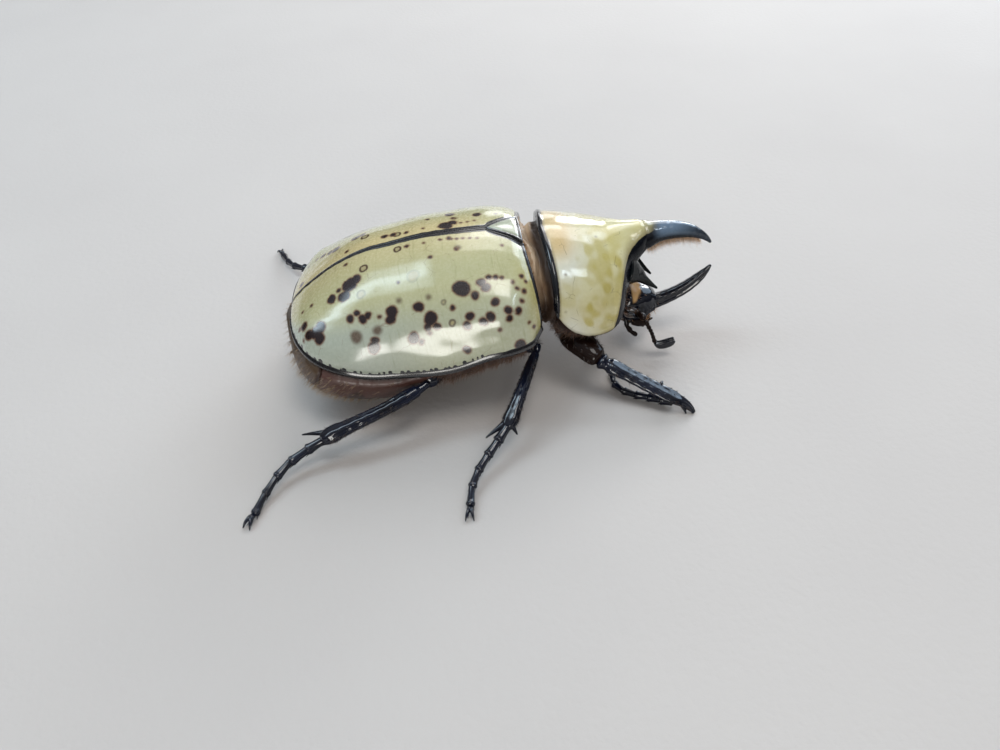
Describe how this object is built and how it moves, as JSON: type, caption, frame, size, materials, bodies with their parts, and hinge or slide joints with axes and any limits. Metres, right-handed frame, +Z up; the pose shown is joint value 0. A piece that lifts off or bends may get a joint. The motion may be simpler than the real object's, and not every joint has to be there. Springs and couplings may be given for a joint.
{
  "type": "rhinoceros beetle",
  "caption": "Life-size male Hercules beetle standing on its claws, domed spotted wing cases, smooth pronotum with a forward horn above a curved head horn.",
  "frame": {"origin": "middle of the length on the body's midline, at the level the claws stand on", "axes": "+X forward, the way the horns point; +Y the animal's left; +Z up"},
  "size_m": [0.0584, 0.0547, 0.018],
  "materials": {
    "wing_case": "glossy greenish cream shell with dark maroon spots",
    "shield": "glossy yellow ochre shell with black rims",
    "black_shell": "glossy blue-black shell",
    "belly": "satin red-brown plates under fine golden hair",
    "collar": "matt orange-brown membrane",
    "eye": "dark, finely faceted and shiny"
  },
  "bodies": {
    "root": {"scutellum": "black_shell", "elytron_left": "wing_case", "elytron_right": "wing_case", "fore_leg_right_coxa": "black_shell", "fore_leg_right_femur": "black_shell", "fore_leg_right_tibia": "black_shell", "fore_leg_right_tarsus": "black_shell", "fore_leg_right_claws": "black_shell", "fore_leg_left_coxa": "black_shell", "fore_leg_left_femur": "black_shell", "fore_leg_left_tibia": "black_shell", "fore_leg_left_tarsus": "black_shell", "fore_leg_left_claws": "black_shell", "mid_leg_right_coxa": "black_shell", "mid_leg_right_femur": "black_shell", "mid_leg_right_tibia": "black_shell", "mid_leg_right_tarsus": "black_shell", "mid_leg_right_claws": "black_shell", "mid_leg_left_coxa": "black_shell", "mid_leg_left_femur": "black_shell", "mid_leg_left_tibia": "black_shell", "mid_leg_left_tarsus": "black_shell", "mid_leg_left_claws": "black_shell", "hind_leg_right_coxa": "black_shell", "hind_leg_right_femur": "black_shell", "hind_leg_right_tibia": "black_shell", "hind_leg_right_tarsus": "black_shell", "hind_leg_right_claws": "black_shell", "hind_leg_left_coxa": "black_shell", "hind_leg_left_femur": "black_shell", "hind_leg_left_tibia": "black_shell", "hind_leg_left_tarsus": "black_shell", "hind_leg_left_claws": "black_shell", "thorax_underside": "belly", "abdomen": "belly", "pygidium": "belly", "collar": "collar", "pronotum": "shield", "pronotal_horn": "black_shell", "side_horn_left": "black_shell", "side_horn_right": "black_shell", "prosternum": "belly", "eye_left": "eye", "eye_right": "eye", "head": "black_shell", "head_horn": "black_shell", "mentum": "belly", "mandible_left": "black_shell", "palp_left": "belly", "antenna_left": "black_shell", "antenna_club_left": "black_shell", "mandible_right": "black_shell", "palp_right": "belly", "antenna_right": "black_shell", "antenna_club_right": "black_shell"}
  },
  "joints": []
}
